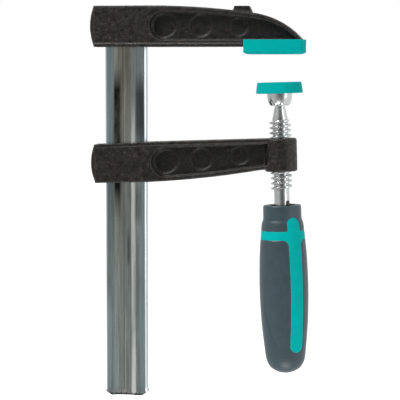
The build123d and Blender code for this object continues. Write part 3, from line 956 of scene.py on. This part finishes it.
def in_sleeve(angle, height):
    """Whether a place on the grip is on the dark moulding below the ring."""
    return teal_edge(angle, height) > 0 and height < RING_MIDDLE


grid = grip_grid()
grip_core = grip_part("grip_core", grid, in_core, groove)
grip_collar = grip_part("grip_collar_skin", grid, in_collar, dark_sink)
grip_sleeve = grip_part("grip_sleeve_skin", grid, in_sleeve, dark_sink)
grid.free()


def collar_top():
    """The flat upper end of the grip: a dark annulus round the shank."""
    bm = bmesh.new()
    top, bottom = HANDLE_TOP - 0.06, -30.8
    profile = rounded([(11.0, bottom), (11.0, top), (8.1, top), (7.9, bottom)], 0.25, 3)
    lathe(bm, [tuple(p) for p in profile] + [tuple(profile[0])], 96)
    bmesh.ops.remove_doubles(bm, verts=bm.verts, dist=1e-5)
    return to_object("collar_top", bm, on_screw)


def core_stem():
    """The teal core inside the grip, seen round the shank where the shank goes in."""
    bm = bmesh.new()
    bore, bottom = 4.75, -120
    profile = [(bore, -32.6), (bore, -31.4), (7.95, -31.4), (8.6, -32.5), (11.0, -62), (7.5, bottom),
               (bore, bottom), (bore, -32.6)]
    lathe(bm, profile, 64)
    bmesh.ops.remove_doubles(bm, verts=bm.verts, dist=1e-5)
    return to_object("core_stem", bm, on_screw)


for piece, slot, material, node in (
    (grip_core, "grip_core", teal_core, "handle_core"),
    (core_stem(), "grip_core", teal_core, None),
    (grip_collar, "grip_skin", grip_grey, "grip_collar"),
    (collar_top(), "grip_skin", grip_grey, None),
    (grip_sleeve, "grip_skin", grip_grey, "grip_sleeve"),
):
    shade(piece, 40)
    finish_piece(piece, "screw", slot, material, *([node] if node else []))

# The CAD's own pin and ball stay as they are and only get their finish
for node in ("rear_guide_pin", "spindle_ball"):
    piece = frame["nodes"][node]
    piece.data.materials.clear()
    piece.data.materials.append(zinc_screw)

# ---- Floor, lights and camera --------------------------------------------------------------------

# How far the floor lies under the rail's foot, in mm
FLOOR_DROP = 130


def floor():
    """A plain white light table, lower than the handle ever reaches. It meets the white background."""
    bm = bmesh.new()
    bmesh.ops.create_grid(bm, x_segments=1, y_segments=1, size=4)
    ground = to_object("floor", bm, Matrix.Translation((0, 0, cad_box[0][2] - FLOOR_DROP * MM)))
    finish = Finish("floor_paper", Base_Color=(0.86, 0.86, 0.86, 1), Roughness=0.9, Specular_IOR_Level=0.0,
                    Emission_Color=(1, 1, 1, 1))
    path = finish.nodes.new("ShaderNodeLightPath")
    finish.feed("Emission Strength", finish.maths("MULTIPLY", path.outputs["Is Camera Ray"], 0.55))
    ground.data.materials.append(finish.material)
    ground.visible_glossy = False
    ground.visible_shadow = False


def area_light(name, position, target, size, power):
    """A rectangular lamp turned to its target, with its size in metres and its power in watts."""
    lamp = bpy.data.lights.new(name, "AREA")
    lamp.shape = "RECTANGLE"
    lamp.size, lamp.size_y = size
    lamp.energy = power
    holder = bpy.data.objects.new(name, lamp)
    holder.location = position
    holder.rotation_euler = (Vector(target) - Vector(position)).to_track_quat("-Z", "Y").to_euler()
    bpy.context.scene.collection.objects.link(holder)


def studio():
    """A white tent with a dark opening in front for the metal to mirror, and plain white for the camera."""
    world = bpy.data.worlds.new("studio")
    bpy.context.scene.world = world
    world.use_nodes = True
    nodes, links = world.node_tree.nodes, world.node_tree.links
    sky = nodes["Background"]
    sky.inputs["Strength"].default_value = 1.0
    seen = nodes.new("ShaderNodeBackground")
    seen.inputs["Color"].default_value = (1, 1, 1, 1)
    where = nodes.new("ShaderNodeTexCoord")
    facing = nodes.new("ShaderNodeVectorMath")
    facing.operation = "DOT_PRODUCT"
    opening = radians(12)
    facing.inputs[1].default_value = (sin(opening), -cos(opening), 0.12)
    links.new(where.outputs["Generated"], facing.inputs[0])
    ramp = nodes.new("ShaderNodeValToRGB")
    fill_ramp(ramp, [(0.0, 0.85), (0.35, 0.82), (0.6, 0.74), (0.76, 0.52),
                     (0.87, 0.34), (0.95, 0.2), (1.0, 0.12)])
    links.new(facing.outputs["Value"], ramp.inputs["Fac"])
    across = nodes.new("ShaderNodeSeparateXYZ")
    links.new(where.outputs["Generated"], across.inputs[0])
    walls = nodes.new("ShaderNodeMapRange")
    walls.inputs["From Min"].default_value = -1.0
    walls.inputs["To Min"].default_value = 0.66
    walls.inputs["To Max"].default_value = 1.02
    links.new(across.outputs["X"], walls.inputs["Value"])
    tent = nodes.new("ShaderNodeVectorMath")
    tent.operation = "SCALE"
    links.new(ramp.outputs["Color"], tent.inputs[0])
    links.new(walls.outputs["Result"], tent.inputs["Scale"])
    links.new(tent.outputs["Vector"], sky.inputs["Color"])
    path = nodes.new("ShaderNodeLightPath")
    choose = nodes.new("ShaderNodeMixShader")
    links.new(path.outputs["Is Camera Ray"], choose.inputs["Fac"])
    links.new(sky.outputs[0], choose.inputs[1])
    links.new(seen.outputs[0], choose.inputs[2])
    links.new(choose.outputs[0], nodes["World Output"].inputs["Surface"])
    area_light("key", (-0.7, -0.6, 1.0), (0, 0, -0.05), (0.5, 0.5), 15)
    area_light("fill", (0.95, -0.45, 0.25), (0, 0, -0.1), (0.45, 1.2), 2.0)
    area_light("table", (0.03, -0.2, -0.54), (0, 0, -0.19), (0.26, 0.26), 1.0)
    bpy.context.scene.view_settings.view_transform = "Standard"


def camera():
    """A long lens a metre away, a little to the right of the front and a little above."""
    azimuth, elevation, distance = radians(8), radians(4.5), 1.0
    aim = Vector((-48, 0, -87)) * MM
    back = Vector((sin(azimuth) * cos(elevation), -cos(azimuth) * cos(elevation), sin(elevation)))
    lens = bpy.data.cameras.new("camera")
    lens.lens = 150
    holder = bpy.data.objects.new("camera", lens)
    holder.location = aim + back * distance
    holder.rotation_euler = (-back).to_track_quat("-Z", "Y").to_euler()
    bpy.context.scene.collection.objects.link(holder)
    bpy.context.scene.camera = holder


floor()
studio()
camera()
